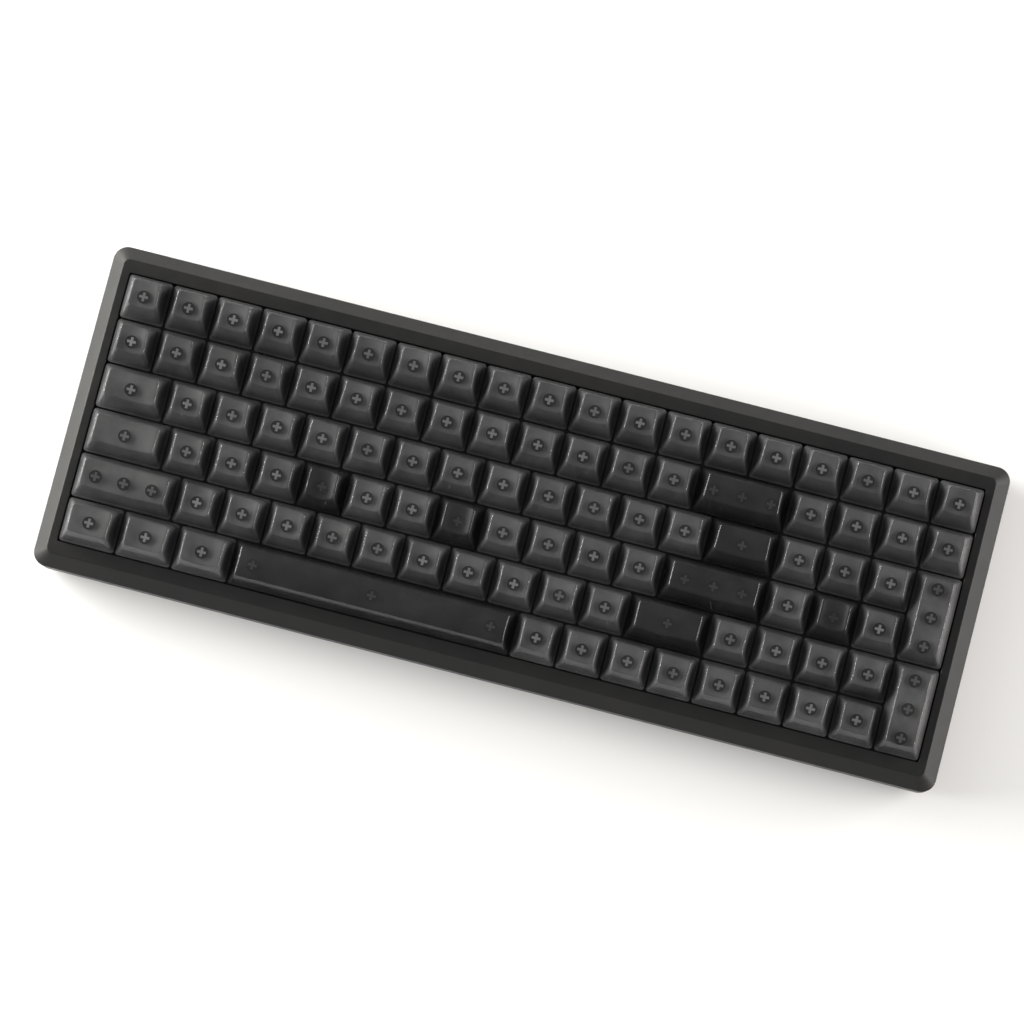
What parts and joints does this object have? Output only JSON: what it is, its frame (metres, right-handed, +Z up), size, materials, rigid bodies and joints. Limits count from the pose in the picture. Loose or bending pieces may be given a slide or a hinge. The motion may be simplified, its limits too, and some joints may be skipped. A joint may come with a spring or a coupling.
{
  "type": "computer keyboard",
  "caption": "Compact full-size mechanical computer keyboard: a low matt case round sliding, smoky see-through keycaps with no legends, and fold-out rear feet.",
  "frame": {"origin": "centre of the keyboard's base, on the surface that it rests on", "axes": "+X to the typist's right along the rows of keys, +Y away from the typist to the rear, +Z up"},
  "size_m": [0.3804, 0.1368, 0.0339],
  "materials": {
    "case_plastic": "fine matt texture",
    "foot_plastic": "fine matt texture",
    "rubber": "soft matt",
    "plate_steel": "black powder coat",
    "circuit_board": "dark solder mask",
    "component_plastic": "moulded",
    "socket_steel": "plain",
    "housing_plastic": "moulded",
    "stabiliser_plastic": "moulded",
    "spring_steel": "bright",
    "contact_brass": "plain",
    "screw_steel": "blackened",
    "smoked_keycap": "smoky see-through gloss"
  },
  "bodies": {
    "case": {"top_frame": "case_plastic", "bottom_case": "case_plastic", "rubber_feet": "rubber", "switch_plate": "plate_steel", "circuit_board": "circuit_board", "board_components": "component_plastic", "usb_socket": "socket_steel", "switch_lower_housings": "housing_plastic", "switch_upper_housings": "housing_plastic", "switch_springs": "spring_steel", "switch_contacts": "contact_brass", "stabiliser_housings": "stabiliser_plastic", "case_screws": "screw_steel", "board_screws": "screw_steel"},
    "left_foot": {"left_tilt_foot": "foot_plastic"},
    "right_foot": {"right_tilt_foot": "foot_plastic"},
    "space_key": {"key_space": "smoked_keycap"},
    "enter_key": {"key_enter": "smoked_keycap"},
    "left_shift_key": {"key_left_shift": "smoked_keycap"},
    "backspace_key": {"key_backspace": "smoked_keycap"},
    "numpad_plus_key": {"key_numpad_plus": "smoked_keycap"},
    "numpad_enter_key": {"key_numpad_enter": "smoked_keycap"},
    "function_row_keys": {"function_row_keys": "smoked_keycap"},
    "number_and_symbol_keys": {"number_and_symbol_keys": "smoked_keycap"},
    "modifier_keys": {"modifier_keys": "smoked_keycap"},
    "arrow_keys": {"arrow_keys": "smoked_keycap"},
    "numpad_keys": {"numpad_keys": "smoked_keycap"},
    "right_shift_key": {"key_right_shift": "smoked_keycap"},
    "q_key": {"key_q": "smoked_keycap"},
    "w_key": {"key_w": "smoked_keycap"},
    "e_key": {"key_e": "smoked_keycap"},
    "r_key": {"key_r": "smoked_keycap"},
    "t_key": {"key_t": "smoked_keycap"},
    "y_key": {"key_y": "smoked_keycap"},
    "u_key": {"key_u": "smoked_keycap"},
    "i_key": {"key_i": "smoked_keycap"},
    "o_key": {"key_o": "smoked_keycap"},
    "p_key": {"key_p": "smoked_keycap"},
    "a_key": {"key_a": "smoked_keycap"},
    "s_key": {"key_s": "smoked_keycap"},
    "d_key": {"key_d": "smoked_keycap"},
    "f_key": {"key_f": "smoked_keycap"},
    "g_key": {"key_g": "smoked_keycap"},
    "h_key": {"key_h": "smoked_keycap"},
    "j_key": {"key_j": "smoked_keycap"},
    "k_key": {"key_k": "smoked_keycap"},
    "l_key": {"key_l": "smoked_keycap"},
    "z_key": {"key_z": "smoked_keycap"},
    "x_key": {"key_x": "smoked_keycap"},
    "c_key": {"key_c": "smoked_keycap"},
    "v_key": {"key_v": "smoked_keycap"},
    "b_key": {"key_b": "smoked_keycap"},
    "n_key": {"key_n": "smoked_keycap"},
    "m_key": {"key_m": "smoked_keycap"},
    "backspace_wire": {"backspace_wire": "spring_steel"},
    "enter_wire": {"enter_wire": "spring_steel"},
    "left_shift_wire": {"left_shift_wire": "spring_steel"},
    "space_wire": {"space_wire": "spring_steel"},
    "numpad_plus_wire": {"numpad_plus_wire": "spring_steel"},
    "numpad_enter_wire": {"numpad_enter_wire": "spring_steel"}
  },
  "joints": [
    {"name": "left_foot_hinge", "type": "hinge", "parent": "case", "child": "left_foot", "pos_m": [-0.15, 0.0507, 0.0038], "axis": [1, 0, 0], "range_deg": [0, 95]},
    {"name": "right_foot_hinge", "type": "hinge", "parent": "case", "child": "right_foot", "pos_m": [0.15, 0.0507, 0.0038], "axis": [1, 0, 0], "range_deg": [0, 95]},
    {"name": "space_key_press", "type": "slide", "parent": "case", "child": "space_key", "axis": [0, 0, -1], "range_m": [0, 0.004], "stiffness_N_per_m": 75, "springref_m": -0.004, "deforming": ["switch_springs"]},
    {"name": "enter_key_press", "type": "slide", "parent": "case", "child": "enter_key", "axis": [0, 0, -1], "range_m": [0, 0.004], "stiffness_N_per_m": 75, "springref_m": -0.004},
    {"name": "left_shift_key_press", "type": "slide", "parent": "case", "child": "left_shift_key", "axis": [0, 0, -1], "range_m": [0, 0.004], "stiffness_N_per_m": 75, "springref_m": -0.004},
    {"name": "backspace_key_press", "type": "slide", "parent": "case", "child": "backspace_key", "axis": [0, 0, -1], "range_m": [0, 0.004], "stiffness_N_per_m": 75, "springref_m": -0.004},
    {"name": "numpad_plus_key_press", "type": "slide", "parent": "case", "child": "numpad_plus_key", "axis": [0, 0, -1], "range_m": [0, 0.004], "stiffness_N_per_m": 75, "springref_m": -0.004},
    {"name": "numpad_enter_key_press", "type": "slide", "parent": "case", "child": "numpad_enter_key", "axis": [0, 0, -1], "range_m": [0, 0.004], "stiffness_N_per_m": 75, "springref_m": -0.004},
    {"name": "function_row_press", "type": "slide", "parent": "case", "child": "function_row_keys", "axis": [0, 0, -1], "range_m": [0, 0.004], "stiffness_N_per_m": 1425, "springref_m": -0.004},
    {"name": "number_and_symbol_press", "type": "slide", "parent": "case", "child": "number_and_symbol_keys", "axis": [0, 0, -1], "range_m": [0, 0.004], "stiffness_N_per_m": 1575, "springref_m": -0.004},
    {"name": "modifier_press", "type": "slide", "parent": "case", "child": "modifier_keys", "axis": [0, 0, -1], "range_m": [0, 0.004], "stiffness_N_per_m": 600, "springref_m": -0.004},
    {"name": "arrow_press", "type": "slide", "parent": "case", "child": "arrow_keys", "axis": [0, 0, -1], "range_m": [0, 0.004], "stiffness_N_per_m": 300, "springref_m": -0.004},
    {"name": "numpad_press", "type": "slide", "parent": "case", "child": "numpad_keys", "axis": [0, 0, -1], "range_m": [0, 0.004], "stiffness_N_per_m": 1125, "springref_m": -0.004},
    {"name": "right_shift_key_press", "type": "slide", "parent": "case", "child": "right_shift_key", "axis": [0, 0, -1], "range_m": [0, 0.004], "stiffness_N_per_m": 75, "springref_m": -0.004},
    {"name": "q_key_press", "type": "slide", "parent": "case", "child": "q_key", "axis": [0, 0, -1], "range_m": [0, 0.004], "stiffness_N_per_m": 75, "springref_m": -0.004},
    {"name": "w_key_press", "type": "slide", "parent": "case", "child": "w_key", "axis": [0, 0, -1], "range_m": [0, 0.004], "stiffness_N_per_m": 75, "springref_m": -0.004},
    {"name": "e_key_press", "type": "slide", "parent": "case", "child": "e_key", "axis": [0, 0, -1], "range_m": [0, 0.004], "stiffness_N_per_m": 75, "springref_m": -0.004},
    {"name": "r_key_press", "type": "slide", "parent": "case", "child": "r_key", "axis": [0, 0, -1], "range_m": [0, 0.004], "stiffness_N_per_m": 75, "springref_m": -0.004},
    {"name": "t_key_press", "type": "slide", "parent": "case", "child": "t_key", "axis": [0, 0, -1], "range_m": [0, 0.004], "stiffness_N_per_m": 75, "springref_m": -0.004},
    {"name": "y_key_press", "type": "slide", "parent": "case", "child": "y_key", "axis": [0, 0, -1], "range_m": [0, 0.004], "stiffness_N_per_m": 75, "springref_m": -0.004},
    {"name": "u_key_press", "type": "slide", "parent": "case", "child": "u_key", "axis": [0, 0, -1], "range_m": [0, 0.004], "stiffness_N_per_m": 75, "springref_m": -0.004},
    {"name": "i_key_press", "type": "slide", "parent": "case", "child": "i_key", "axis": [0, 0, -1], "range_m": [0, 0.004], "stiffness_N_per_m": 75, "springref_m": -0.004},
    {"name": "o_key_press", "type": "slide", "parent": "case", "child": "o_key", "axis": [0, 0, -1], "range_m": [0, 0.004], "stiffness_N_per_m": 75, "springref_m": -0.004},
    {"name": "p_key_press", "type": "slide", "parent": "case", "child": "p_key", "axis": [0, 0, -1], "range_m": [0, 0.004], "stiffness_N_per_m": 75, "springref_m": -0.004},
    {"name": "a_key_press", "type": "slide", "parent": "case", "child": "a_key", "axis": [0, 0, -1], "range_m": [0, 0.004], "stiffness_N_per_m": 75, "springref_m": -0.004},
    {"name": "s_key_press", "type": "slide", "parent": "case", "child": "s_key", "axis": [0, 0, -1], "range_m": [0, 0.004], "stiffness_N_per_m": 75, "springref_m": -0.004},
    {"name": "d_key_press", "type": "slide", "parent": "case", "child": "d_key", "axis": [0, 0, -1], "range_m": [0, 0.004], "stiffness_N_per_m": 75, "springref_m": -0.004},
    {"name": "f_key_press", "type": "slide", "parent": "case", "child": "f_key", "axis": [0, 0, -1], "range_m": [0, 0.004], "stiffness_N_per_m": 75, "springref_m": -0.004},
    {"name": "g_key_press", "type": "slide", "parent": "case", "child": "g_key", "axis": [0, 0, -1], "range_m": [0, 0.004], "stiffness_N_per_m": 75, "springref_m": -0.004},
    {"name": "h_key_press", "type": "slide", "parent": "case", "child": "h_key", "axis": [0, 0, -1], "range_m": [0, 0.004], "stiffness_N_per_m": 75, "springref_m": -0.004},
    {"name": "j_key_press", "type": "slide", "parent": "case", "child": "j_key", "axis": [0, 0, -1], "range_m": [0, 0.004], "stiffness_N_per_m": 75, "springref_m": -0.004},
    {"name": "k_key_press", "type": "slide", "parent": "case", "child": "k_key", "axis": [0, 0, -1], "range_m": [0, 0.004], "stiffness_N_per_m": 75, "springref_m": -0.004},
    {"name": "l_key_press", "type": "slide", "parent": "case", "child": "l_key", "axis": [0, 0, -1], "range_m": [0, 0.004], "stiffness_N_per_m": 75, "springref_m": -0.004},
    {"name": "z_key_press", "type": "slide", "parent": "case", "child": "z_key", "axis": [0, 0, -1], "range_m": [0, 0.004], "stiffness_N_per_m": 75, "springref_m": -0.004},
    {"name": "x_key_press", "type": "slide", "parent": "case", "child": "x_key", "axis": [0, 0, -1], "range_m": [0, 0.004], "stiffness_N_per_m": 75, "springref_m": -0.004},
    {"name": "c_key_press", "type": "slide", "parent": "case", "child": "c_key", "axis": [0, 0, -1], "range_m": [0, 0.004], "stiffness_N_per_m": 75, "springref_m": -0.004},
    {"name": "v_key_press", "type": "slide", "parent": "case", "child": "v_key", "axis": [0, 0, -1], "range_m": [0, 0.004], "stiffness_N_per_m": 75, "springref_m": -0.004},
    {"name": "b_key_press", "type": "slide", "parent": "case", "child": "b_key", "axis": [0, 0, -1], "range_m": [0, 0.004], "stiffness_N_per_m": 75, "springref_m": -0.004},
    {"name": "n_key_press", "type": "slide", "parent": "case", "child": "n_key", "axis": [0, 0, -1], "range_m": [0, 0.004], "stiffness_N_per_m": 75, "springref_m": -0.004},
    {"name": "m_key_press", "type": "slide", "parent": "case", "child": "m_key", "axis": [0, 0, -1], "range_m": [0, 0.004], "stiffness_N_per_m": 75, "springref_m": -0.004},
    {"name": "backspace_wire_turn", "type": "hinge", "parent": "case", "child": "backspace_wire", "pos_m": [0.08572, 0.02057, 0.0137], "axis": [-1, 0, 0], "range_deg": [0, 28]},
    {"name": "enter_wire_turn", "type": "hinge", "parent": "case", "child": "enter_wire", "pos_m": [0.08334, -0.01752, 0.0137], "axis": [-1, 0, 0], "range_deg": [0, 28]},
    {"name": "left_shift_wire_turn", "type": "hinge", "parent": "case", "child": "left_shift_wire", "pos_m": [-0.15954, -0.03658, 0.0137], "axis": [-1, 0, 0], "range_deg": [0, 28]},
    {"name": "space_wire_turn", "type": "hinge", "parent": "case", "child": "space_wire", "pos_m": [-0.05001, -0.05563, 0.0137], "axis": [-1, 0, 0], "range_deg": [0, 28]},
    {"name": "numpad_plus_wire_turn", "type": "hinge", "parent": "case", "child": "numpad_plus_wire", "pos_m": [0.16345, 0, 0.0137], "axis": [0, 1, 0], "range_deg": [0, 28]},
    {"name": "numpad_enter_wire_turn", "type": "hinge", "parent": "case", "child": "numpad_enter_wire", "pos_m": [0.16345, -0.0381, 0.0137], "axis": [0, 1, 0], "range_deg": [0, 28]}
  ],
  "couplings": [
    {"joint": "backspace_wire_turn", "follows": "backspace_key_press", "rad_per_m": 121.05},
    {"joint": "enter_wire_turn", "follows": "enter_key_press", "rad_per_m": 121.05},
    {"joint": "left_shift_wire_turn", "follows": "left_shift_key_press", "rad_per_m": 121.05},
    {"joint": "space_wire_turn", "follows": "space_key_press", "rad_per_m": 121.05},
    {"joint": "numpad_plus_wire_turn", "follows": "numpad_plus_key_press", "rad_per_m": 121.05},
    {"joint": "numpad_enter_wire_turn", "follows": "numpad_enter_key_press", "rad_per_m": 121.05}
  ]
}
